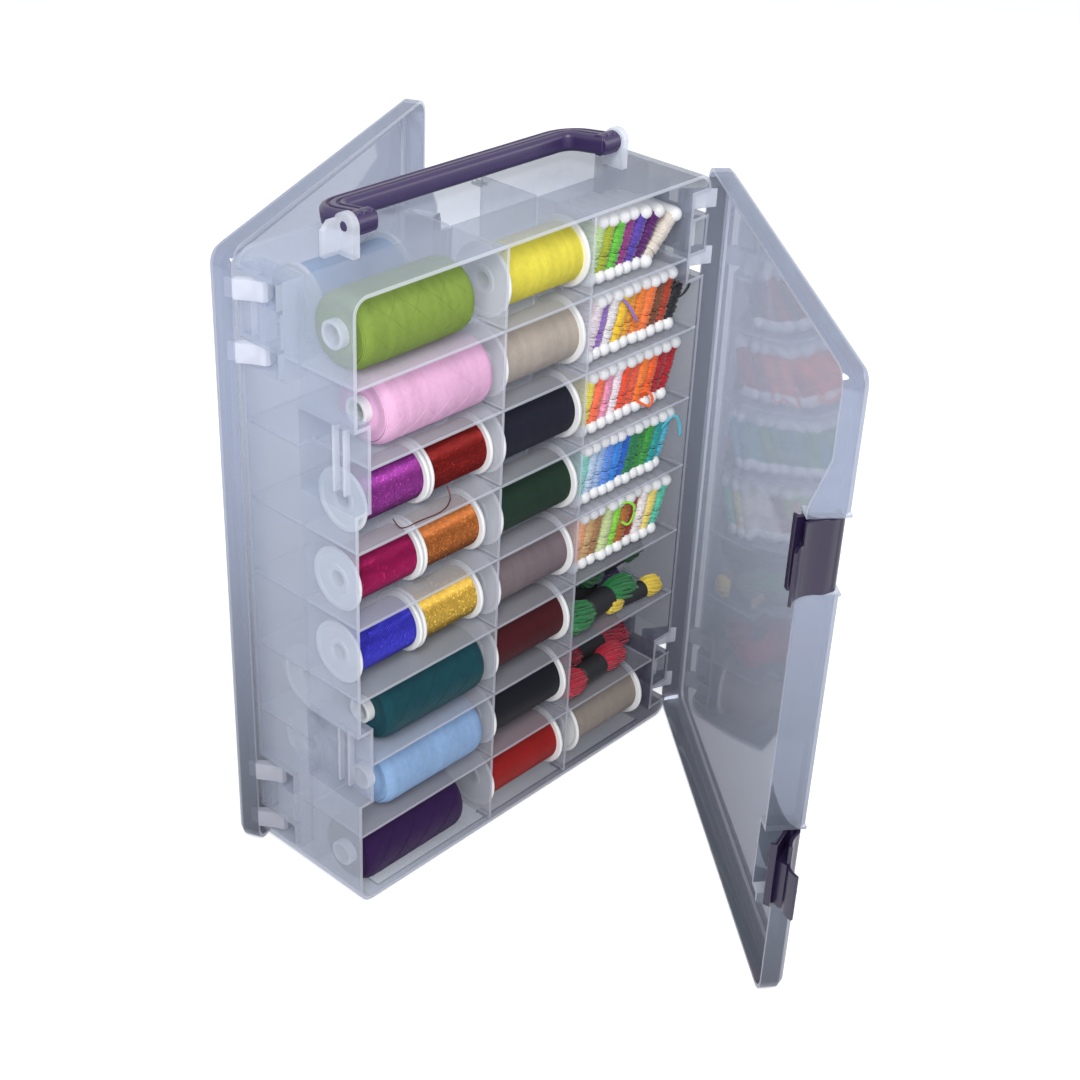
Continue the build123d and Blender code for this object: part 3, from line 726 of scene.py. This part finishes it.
def thread_finish(name, pitch, contrast, sheen, roughness, metal=0.0, painted_glint_level=0.0):
    """Thread in close turns: contrast between them, partly painted shade in their grooves, soft sheen, and
    painted glints on metal thread.
    """
    material, tree = new_material(name)
    place = put(tree, "ShaderNodeTexCoord", out="Object")
    colour = put(tree, "ShaderNodeAttribute", {"attribute_name": "dye"})
    turns = put(tree, "ShaderNodeTexWave", {"wave_type": "BANDS", "bands_direction": "X"}, {
        "Vector": place, "Scale": wave_share / (pitch * MM), "Distortion": 1.4, "Detail": 2.0,
        "Detail Scale": 1.5}, out=1)
    fuzz = put(tree, "ShaderNodeTexNoise", {}, {"Vector": place, "Scale": 420.0, "Detail": 4.0})
    stretched = put(tree, "ShaderNodeMapping", {}, {"Vector": place, "Scale": (260.0, 18.0, 18.0)})
    bands = put(tree, "ShaderNodeTexNoise", {"noise_dimensions": "3D"}, {"Vector": stretched, "Scale": 1.0})
    # Painted glints: bright specks of noise added to the metallic thread's colour.
    glint_noise = put(tree, "ShaderNodeTexNoise", {}, {"Vector": place, "Scale": 900.0, "Detail": 1.0})
    painted_glint_mask = put(tree, "ShaderNodeMapRange", {}, {"Value": glint_noise, "From Min": 0.60, "From Max": 0.72})
    # contrast darkens the lines between turns: partly the thread's own turns, partly painted shade in the
    # grooves between them.
    level = mean_shade - contrast / 2
    shade = turns * contrast + fuzz * fuzz_share + bands * band_share + level + painted_glint_mask * painted_glint_level
    toned = put(tree, "ShaderNodeVectorMath", {"operation": "SCALE"}, {0: colour, "Scale": shade})
    relief = turns + fuzz * 0.4
    bump = put(tree, "ShaderNodeBump", {}, {"Strength": 0.55, "Distance": 0.00025, "Height": relief})
    skin = put(tree, "ShaderNodeBsdfPrincipled", {}, {
        "Base Color": toned, "Roughness": roughness, "Metallic": metal, "IOR": 1.25, "Normal": bump,
        "Sheen Weight": sheen, "Sheen Roughness": 0.5})
    put(tree, "ShaderNodeOutputMaterial", {}, {"Surface": skin})
    return material


matt_thread = thread_finish("wound_thread", pitch=0.5, contrast=0.30, sheen=0.03, roughness=0.62)
metallic_thread = thread_finish("metallic_thread", pitch=0.95, contrast=0.9, sheen=0.0, roughness=0.36,
                                metal=0.6, painted_glint_level=1.4)


def paint_new(work, count_before, colour):
    """Give every vertex added since count_before its dye."""
    layer = work.verts.layers.float_color.get("dye") or work.verts.layers.float_color.new("dye")
    work.verts.ensure_lookup_table()
    for vertex in work.verts[count_before:]:
        vertex[layer] = colour


def winding(work, length, radius_at, core, pitch, ridge, colour, place, sides=36):
    """One thread wound in close turns: a helix of crests and troughs.

    radius_at(x) gives the winding's radius at a place along its length, and core
    is the radius that it is wound on (mm)."""
    before = len(work.verts)
    crests = []
    troughs = []
    turns = int(length / pitch) + 1
    for i in range(turns * sides + 1):
        a = 2 * math.pi * i / sides
        for line, shift, lift in ((crests, 0.0, ridge), (troughs, pitch / 2, -ridge)):
            x = min(length, max(0.0, pitch * i / sides + shift))
            r = radius_at(x) + lift
            line.append(work.verts.new(place @ (Vector((x, r * math.cos(a), r * math.sin(a))) * MM)))
    for i in range(turns * sides):
        work.faces.new((crests[i], crests[i + 1], troughs[i + 1], troughs[i]))
        if i + sides < turns * sides:
            work.faces.new((troughs[i], troughs[i + 1], crests[i + sides + 1], crests[i + sides]))
    for x, inward in ((0.0, 1), (length, -1)):
        rim = radius_at(x + inward * pitch / 2)
        cap = [(x + inward * 0.5, core), (x + inward * 0.1, rim - 2.0), (x + inward * 0.15, rim - 0.5),
               (x + inward * pitch / 2, rim), (x + inward * pitch, rim - 0.6), (x + inward * pitch, core)]
        lathe(work, cap[::inward], place, sides)
    paint_new(work, before, colour)


def tube(work, points, radius, place, sides=5):
    """Strand along a line of points (mm), closed at both ends."""
    rings = []
    section = circle(radius, sides)
    for i, point in enumerate(points):
        ahead = Vector(points[min(i + 1, len(points) - 1)]) - Vector(points[max(i - 1, 0)])
        across = ahead.cross(Vector((0, 0, 1)))
        if across.length < 1e-6:
            across = Vector((1, 0, 0))
        across.normalize()
        up = across.cross(ahead).normalized()
        rings.append([work.verts.new(place @ ((Vector(point) + u * across + v * up) * MM))
                      for u, v in section])
    join_rings(work, rings)
    work.faces.new(rings[0][::-1])
    work.faces.new(rings[-1])


lay_margin = 0.6


def cross_lay(work, length, radius_at, radius, count, slant, colour, place):
    """Strands that run slantwise both ways over a winding, as cross-wound thread does."""
    before = len(work.verts)
    steps = 40
    for way in (-1, 1):
        for k in range(count):
            points = []
            for i in range(steps + 1):
                x = lay_margin + (length - 2 * lay_margin) * i / steps
                a = 2 * math.pi * k / count + way * slant * i / steps
                r = radius_at(x) + 0.3 * radius
                points.append((x, r * math.cos(a), r * math.sin(a)))
            tube(work, points, radius, place, 4)
    paint_new(work, before, colour)


# Barrel spools, left column from the top: green, pink, teal, pale blue, plum.
barrels = ((1, -119.7, "7F9742"), (2, -106.2, "E8B4D6"), (6, -106.2, "10424C"), (7, -106.2, "8CABD2"),
           (8, -119.7, "2B1042"))
tube_stub = 4.0
tube_radius = 7.0
shoulder = 6.0
shoulder_drop = 4.5
barrel_span = barrel_length - 2 * tube_stub


def barrel_radius(x):
    """Radius along a barrel's thread: level, falling to round shoulders."""
    near = min(x, barrel_span - x)
    if near >= shoulder:
        return spool_radius
    return spool_radius - shoulder_drop * (1 - math.sqrt(1 - (1 - max(0.0, near) / shoulder) ** 2))


tubes = bmesh.new()
barrel_thread = bmesh.new()
for row, x, colour in barrels:
    lathe(tubes, tube_profile(barrel_length), seat(x, row, spool_radius))
    place = seat(x + tube_stub, row, spool_radius)
    winding(barrel_thread, barrel_span, barrel_radius, core=tube_radius, pitch=0.9, ridge=0.05,
            colour=dye(colour), place=place)
    cross_lay(barrel_thread, barrel_span, barrel_radius, radius=0.12, count=7, slant=4.0,
              colour=dye(colour), place=place)
add_piece("barrel_tubes", tubes, [white_plastic], "core", ["barrel_spool_tubes"])
add_piece("barrel_thread", barrel_thread, [matt_thread], "core", ["barrel_spool_thread"])

# Large flanged spools: the middle column, one at bottom right, three at the rear.
large_colours = ("E6D84E", "B9ADA1", "1B1C2C", "1C3426", "7E7074", "481118", "14141E", "951818")
column_two_x = column_two[0] + 2 * seat_gap
rear_x = -106.0
corner_shift = 9.0
large = [(row + 1, column_two_x, -1, colour) for row, colour in enumerate(large_colours)]
large.append((last_row, column_three + 2 * seat_gap + corner_shift, -1, "988D84"))
large += [(1, rear_x, 1, "6FA8D8"), (6, rear_x, 1, "E6E6E8"), (7, rear_x, 1, "DCDCE2")]
winding_inset = 2.0
large_margin = 3.2
large_bodies = bmesh.new()
large_thread = bmesh.new()


def level_at(radius):
    """A winding that has the same radius all along."""
    return lambda x: radius


for row, x, facing, colour in large:
    lathe(large_bodies, flanged_profile(large_length, spool_radius), seat(x, row, spool_radius, facing))
    place = seat(x + winding_inset, row, spool_radius, facing)
    winding(large_thread, large_length - 2 * winding_inset, level_at(spool_radius - large_margin),
            core=hub_radius, pitch=0.9, ridge=0.06, colour=dye(colour), place=place)
add_piece("large_spool_bodies", large_bodies, [white_plastic], "core", ["large_spools"])
add_piece("large_spool_winding", large_thread, [matt_thread], "core", ["large_spool_thread"])

# Short flanged spools of metallic thread, in pairs in the third to fifth rows.
small_start = -113.7
pair_gap = 0.6
small_margin = 3.0
small_pairs = ((3, small_start, "722A70", "761B19"), (4, -117.7, "7C1442", "8E5228"),
               (5, -117.7, "33319A", "AE8E3C"))
small_length = (column_left_end - small_start - pair_gap) / 2
small_bodies = bmesh.new()
small_thread = bmesh.new()
for row, x, left, right in small_pairs:
    for step, colour in ((0.0, left), (small_length + pair_gap, right)):
        lathe(small_bodies, flanged_profile(small_length, small_radius), seat(x + step, row, small_radius))
        place = seat(x + step + winding_inset, row, small_radius)
        winding(small_thread, small_length - 2 * winding_inset, level_at(small_radius - small_margin),
                core=hub_radius, pitch=0.95, ridge=0.24, colour=dye(colour), place=place)
add_piece("small_spool_bodies", small_bodies, [white_plastic], "core", ["small_spools"])

# A loose end of dark red thread lies along the third shelf.
before = len(small_thread.verts)
shelf_top = row_floor(3) + 0.6
loose_end = [(-95, -33, shelf_top + 5), (-92, -36, shelf_top), (-80, -37, shelf_top), (-67, -37.5, shelf_top),
             (-60, -36, shelf_top + 3), (-58, -32, shelf_top + 8)]
tube(small_thread, curve_between(loose_end, 6), 0.3, Matrix.Identity(4))
paint_new(small_thread, before, dye("5A1A18"))
add_piece("small_spool_winding", small_thread, [metallic_thread], "core",
          ["small_spool_thread"])


# ---------------------------------------------------------------- floss bobbins
# Flat white bobbins with a round bar at each end, wound with six-strand floss.
# They stand in files in the right column and lean to the right on one another.
bobbin_height = 37.0
bobbin_reach = 16.5
bar_radius = 4.0
wrap_radius = 0.70
wrap_pitch = 1.08
wrap_turns = 24
floss_start = 6.3
# Colour of each bobbin's floss and how far it leans (degrees), from the left.
bobbin_rows = {
    1: (("BFD99A", 17), ("A3AE2C", 17), ("62B83C", 18), ("93327F", 21), ("5A3FA5", 24), ("5B1268", 33),
        ("DDD3C6", 44)),
    2: (("E7D9DF", 17), ("9A72C0", 17), ("E3DEDC", 17), ("EBC02F", 17), ("EFA32A", 17), ("E8842F", 17),
        ("EE7A3A", 17), ("7A4522", 17), ("B2401F", 18), ("15161A", 20)),
    3: (("EFE05A", 15), ("F2724F", 15), ("F09CB8", 16), ("F4E4E8", 16), ("E8512E", 17), ("EA5F3F", 17),
        ("F07F2F", 17), ("F0641F", 18), ("A81C24", 19), ("B3121F", 20)),
    4: (("8FD9C8", 14), ("BFD3E6", 14), ("9FB9DE", 14), ("5B8BD8", 15), ("2E86DB", 15), ("1F66C9", 16),
        ("1F7A4A", 16), ("2A8F3A", 17), ("37993B", 17), ("1E9A97", 18), ("4FC0D8", 20)),
    5: (("F3AE84", 15), ("CDA874", 15), ("A97A4D", 15), ("C3CF96", 16), ("8FDB3C", 16), ("B06A2C", 17),
        ("A2391D", 17), ("EDE3DF", 18), ("EBD676", 18), ("5CC7A8", 20)),
}
card_values = (("Turns", "NodeSocketInt", wrap_turns), ("Pitch", "NodeSocketFloat", wrap_pitch * MM),
               ("Strand radius", "NodeSocketFloat", wrap_radius * MM))
wrap_width = 6.9
wrap_height = 28.0
wrap_corner = 2.9
slope_limit = (0.014, 0.02, 0.03)
swell_low = (0.94, 0.97, 1.0)
swell_high = (1.12, 1.03, 1.2)


def wound_card_tree(floss):
    """Geometry tree: each point becomes a card's floss, wrapped turn by turn.

    The second result is the identifier of each value's input."""
    tree = bpy.data.node_groups.new("wound_card", "GeometryNodeTree")
    for way in ("OUTPUT", "INPUT"):
        tree.interface.new_socket("Geometry", in_out=way, socket_type="NodeSocketGeometry")
    identifiers = {}
    for name, kind, value in card_values:
        socket = tree.interface.new_socket(name, in_out="INPUT", socket_type=kind)
        socket.default_value = value
        identifiers[name] = socket.identifier
    files = put(tree, "NodeGroupInput", out="Geometry")
    turns, pitch, radius = [put(tree, "NodeGroupInput", out=name) for name in identifiers]
    oblong = put(tree, "GeometryNodeCurvePrimitiveQuadrilateral", {"mode": "RECTANGLE"},
                 {"Width": wrap_width * MM, "Height": wrap_height * MM})
    loop = put(tree, "GeometryNodeFilletCurve", {"mode": "POLY"},
               {0: oblong, "Count": 4, "Radius": wrap_corner * MM})
    section = put(tree, "GeometryNodeCurvePrimitiveCircle", {}, {"Resolution": 5, "Radius": radius})
    strand = put(tree, "GeometryNodeCurveToMesh", {}, {"Curve": loop, "Profile Curve": section})
    rise = put(tree, "ShaderNodeCombineXYZ", {}, {"Z": pitch})
    start = (0, 0, floss_start * MM)
    stack = put(tree, "GeometryNodeMeshLine", {}, {"Count": turns, "Start Location": start, "Offset": rise})
    slope = put(tree, "FunctionNodeRandomValue", {"data_type": "FLOAT_VECTOR"},
                {0: tuple(-limit for limit in slope_limit), 1: slope_limit, "Seed": 4})
    swell = put(tree, "FunctionNodeRandomValue", {"data_type": "FLOAT_VECTOR"},
                {0: swell_low, 1: swell_high, "Seed": 9})
    wraps = put(tree, "GeometryNodeInstanceOnPoints", {}, {
        "Points": stack, "Instance": strand, "Rotation": slope, "Scale": swell})
    card = put(tree, "GeometryNodeRealizeInstances", {}, {0: wraps})
    points = put(tree, "GeometryNodeMeshToPoints", {}, {0: files})
    lean = put(tree, "GeometryNodeInputNamedAttribute", {"data_type": "FLOAT_VECTOR"}, {"Name": "lean"})
    cards = put(tree, "GeometryNodeInstanceOnPoints", {}, {
        "Points": points, "Instance": card, "Rotation": lean})
    real = put(tree, "GeometryNodeRealizeInstances", {}, {0: cards})
    smooth = put(tree, "GeometryNodeSetShadeSmooth", {}, {0: real})
    done = put(tree, "GeometryNodeSetMaterial", {}, {0: smooth, "Material": floss})
    put(tree, "NodeGroupOutput", {}, {0: done})
    return tree, identifiers


def floss_finish():
    """Mercerised cotton: soft sheen, fine strands that twist along each wrap."""
    material, tree = new_material("cotton_floss")
    place = put(tree, "ShaderNodeTexCoord", out="Object")
    colour = put(tree, "ShaderNodeAttribute", {"attribute_name": "dye"})
    strands = put(tree, "ShaderNodeTexWave", {"wave_type": "BANDS", "bands_direction": "DIAGONAL"},
                  {"Vector": place, "Scale": 520.0, "Distortion": 3.0, "Detail": 2.0}, out=1)
    fuzz = put(tree, "ShaderNodeTexNoise", {}, {"Vector": place, "Scale": 300.0, "Detail": 4.0})
    shade = strands * 0.28 + fuzz * 0.5 + 0.62
    toned = put(tree, "ShaderNodeVectorMath", {"operation": "SCALE"}, {0: colour, "Scale": shade})
    bump = put(tree, "ShaderNodeBump", {}, {"Strength": 0.5, "Distance": 0.0002, "Height": strands})
    skin = put(tree, "ShaderNodeBsdfPrincipled", {}, {
        "Base Color": toned, "Roughness": 0.55, "Normal": bump, "Sheen Weight": 0.3, "Sheen Roughness": 0.4})
    put(tree, "ShaderNodeOutputMaterial", {}, {"Surface": skin})
    return material


cotton_floss = floss_finish()
wound_card, card_inputs = wound_card_tree(cotton_floss)


def capsule(work, length, radius, place, sides=12):
    """Bar along local Y with round ends, centred on place."""
    steps = [math.radians(a) for a in (12, 35, 60, 90)]
    stations = [(-length / 2 + radius - radius * math.cos(a), radius * math.sin(a)) for a in steps]
    stations += [(-y, r) for y, r in reversed(stations)]
    rings = [[work.verts.new(place @ (Vector((u, y, v)) * MM)) for u, v in circle(r, sides)]
             for y, r in stations]
    join_rings(work, rings, inside_out=True)
    work.faces.new(rings[0])
    work.faces.new(rings[-1][::-1])


row_end = {1: 110.5, 2: 121.0, 3: 121.0, 4: 121.0, 5: 121.0}
card_thickness = 1.6
card_waist = 22.0
end_depth = 14.0
end_lean = 0.3
end_radius = 0.55
end_spread = 0.45
# Loose ends that stick out of the files: row, place along it, height, dye, route.
loose_ends = (
    (2, 0.28, 29.0, "9A72C0", ((0, 0, 0), (3, -2, -4), (6, -3, -9), (9, -3, -14))),
    (2, 0.92, 24.0, "15161A", ((0, 0, 0), (4, -3, 4), (8, -4, 4), (10, -4, 0), (8, -3, -4), (5, -2, -6))),
    (3, 0.62, 9.0, "F0641F", ((0, 0, 0), (3, -3, -3), (7, -5, -5), (9, -5, -1), (7, -3, 3), (3, -1, 3))),
    (4, 0.95, 24.0, "4FC0D8", ((0, 0, 0), (2, -3, 6), (5, -5, 8), (8, -6, 2), (9, -6, -5))),
    (5, 0.40, 30.0, "8FDB3C", ((0, 0, 0), (3, -4, 3), (7, -6, 0), (7, -6, -7), (4, -5, -11), (1, -3, -9))),
)


def bobbin_file(row, bobbins):
    """White cards and their floss for one row."""
    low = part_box(f"floss_bobbins_{row}")[0]
    first = low.x / MM + bar_radius
    last = row_end[row] - bobbin_height * math.sin(math.radians(bobbins[-1][1])) - bar_radius
    step = (last - first) / (len(bobbins) - 1)
    y = web_front - seat_gap - bobbin_reach
    cards = bmesh.new()
    points = bpy.data.meshes.new(f"row_{row}_points")
    wobble = random.Random(row)
    places = []
    leans = []
    for i, (colour, lean) in enumerate(bobbins):
        swing = (0.0, math.radians(lean + wobble.uniform(-1.5, 1.5)), math.radians(wobble.uniform(-3, 3)))
        place = Vector((first + i * step, y + wobble.uniform(-0.8, 0.8), row_floor(row) + 0.2))
        places.append(place * MM)
        leans.append(swing)
        matrix = (Matrix.Translation(place * MM) @ Matrix.Rotation(swing[2], 4, "Z")
                  @ Matrix.Rotation(swing[1], 4, "Y"))
        for height in (bar_radius, bobbin_height - bar_radius):
            bar = matrix @ Matrix.Translation((0, 0, height * MM))
            capsule(cards, 2 * bobbin_reach, bar_radius, bar)
        waist = [(x * card_thickness / 2, y * card_waist / 2) for x, y in square]
        prism(cards, waist, bar_radius, bobbin_height - bar_radius, matrix)
    add_piece(f"row_{row}_cards", cards, [white_plastic], "core")
    points.from_pydata(places, [], [])
    dyes = points.attributes.new("dye", "FLOAT_COLOR", "POINT")
    lean_attribute = points.attributes.new("lean", "FLOAT_VECTOR", "POINT")
    for i, (colour, lean) in enumerate(bobbins):
        dyes.data[i].color = dye(colour)
        lean_attribute.data[i].vector = leans[i]
    seed = bpy.data.objects.new(f"row_{row}_seed", points)
    link(seed)
    wind = seed.modifiers.new("wind", "NODES")
    wind.node_group = wound_card
    for name, kind, value in card_values:
        wind[card_inputs[name]] = value
    evaluated = seed.evaluated_get(bpy.context.evaluated_depsgraph_get())
    mesh = bpy.data.meshes.new_from_object(evaluated)
    bpy.data.objects.remove(seed)
    strands = bmesh.new()
    strands.from_mesh(mesh)
    for end_row, along, height, colour, route in loose_ends:
        if end_row != row:
            continue
        before = len(strands.verts)
        across = first + along * (last - first) + height * end_lean
        root = Matrix.Translation(Vector((across, y - end_depth, row_floor(row) + height)) * MM)
        line = curve_between(list(route), 5)
        for shift in (-end_spread, end_spread):
            tube(strands, [(p[0] + shift, p[1], p[2]) for p in line], end_radius, root)
        paint_new(strands, before, dye(colour))
    for face in strands.faces:
        face.material_index = 0
        face.smooth = True
    strands.to_mesh(mesh)
    strands.free()
    mesh.materials.clear()
    mesh.materials.append(cotton_floss)
    floss = bpy.data.objects.new(f"row_{row}_floss", mesh)
    link(floss)
    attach(floss, "core")
    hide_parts(f"floss_bobbins_{row}")


for row, bobbins in bobbin_rows.items():
    bobbin_file(row, bobbins)


# ---------------------------------------------------------------- skeins
# Loose skeins of floss lie on the sixth and seventh shelves. Each is a bundle
# of strands that swells either side of a black paper band.
def paper_finish(name, colour):
    """Smooth coloured paper with a trace of fibre."""
    material, tree = new_material(name)
    place = put(tree, "ShaderNodeTexCoord", out="Object")
    fibre = put(tree, "ShaderNodeTexNoise", {}, {"Vector": place, "Scale": 700.0, "Detail": 5.0})
    tone = put(tree, "ShaderNodeMix", {"data_type": "RGBA"}, {
        0: fibre, 6: (*[c * 0.8 for c in colour], 1), 7: (*[c * 1.25 for c in colour], 1)}, out=2)
    bump = put(tree, "ShaderNodeBump", {}, {"Strength": 0.2, "Distance": 0.0002, "Height": fibre})
    skin = put(tree, "ShaderNodeBsdfPrincipled", {}, {"Base Color": tone, "Roughness": 0.6, "Normal": bump})
    put(tree, "ShaderNodeOutputMaterial", {}, {"Surface": skin})
    return material


black_paper = paper_finish("black_paper", (0.018, 0.018, 0.020))
band_half = 9.5
band_gap = 1.3
skein_strands = 64
skein_steps = 18
skein_strand = 0.85
end_pinch = 0.35
waist_share = 0.62
skein_middle = 36.0


def skein(work, bands, place, colour, seed, length, swell):
    """Strands of one skein about local X; its band sits round the middle."""
    pick = random.Random(seed)
    before = len(work.verts)
    waist = waist_share * swell
    for s in range(skein_strands):
        layer = math.sqrt((s + 0.5) / skein_strands)
        points = []
        for i in range(skein_steps + 1):
            x = (i / skein_steps - 0.5) * length
            beyond = max(0.0, abs(x) - band_half) / (length / 2 - band_half)
            lobe = math.sin(math.pi * min(1.0, beyond)) ** 0.5 if beyond > 0 else 0.0
            r = layer * (waist + (swell - waist) * lobe) * (end_pinch if beyond >= 0.999 else 1.0)
            a = s * 2.4 + 2.2 * x / length + pick.uniform(-0.08, 0.08)
            points.append((x + pick.uniform(-0.5, 0.5), r * math.cos(a), 0.9 * r * math.sin(a)))
        tube(work, points, skein_strand, place)
    paint_new(work, before, dye(colour))
    outer = waist + band_gap
    half = [(-band_half, outer - 0.4), (-band_half + 0.4, outer)]
    ends = [(band_half, outer - 0.8), (-band_half, outer - 0.8)]
    lathe(bands, half + [(-x, r) for x, r in reversed(half)] + ends, place, sides=28)


skein_floss = bmesh.new()
skein_paper = bmesh.new()
skein_x = column_three + skein_middle
for row, x, y, z, yaw, colour, length, swell, seed in (
        (6, -3, -27.5, 9.6, 3, "14783A", 62, 9.0, 1), (6, 0, -10.5, 9.4, -2, "3B1E5A", 62, 8.2, 2),
        (6, 19, -14.0, 24.0, 4, "125A2E", 56, 9.6, 3), (6, 22, -31.0, 6.6, -6, "D9BE3E", 44, 6.2, 4),
        (7, -7, -28.5, 8.6, 4, "B01530", 58, 8.0, 5), (7, 5, -14.0, 12.0, -5, "A01030", 60, 10.8, 6)):
    place = (Matrix.Translation(Vector((skein_x + x, y, row_floor(row) + z)) * MM)
             @ Matrix.Rotation(math.radians(yaw), 4, "Z"))
    skein(skein_floss, skein_paper, place, colour, seed, length, swell)
add_piece("skein_strands", skein_floss, [cotton_floss], "core", ["floss_skeins"])
add_piece("skein_paper_bands", skein_paper, [black_paper], "core", ["skein_bands"])
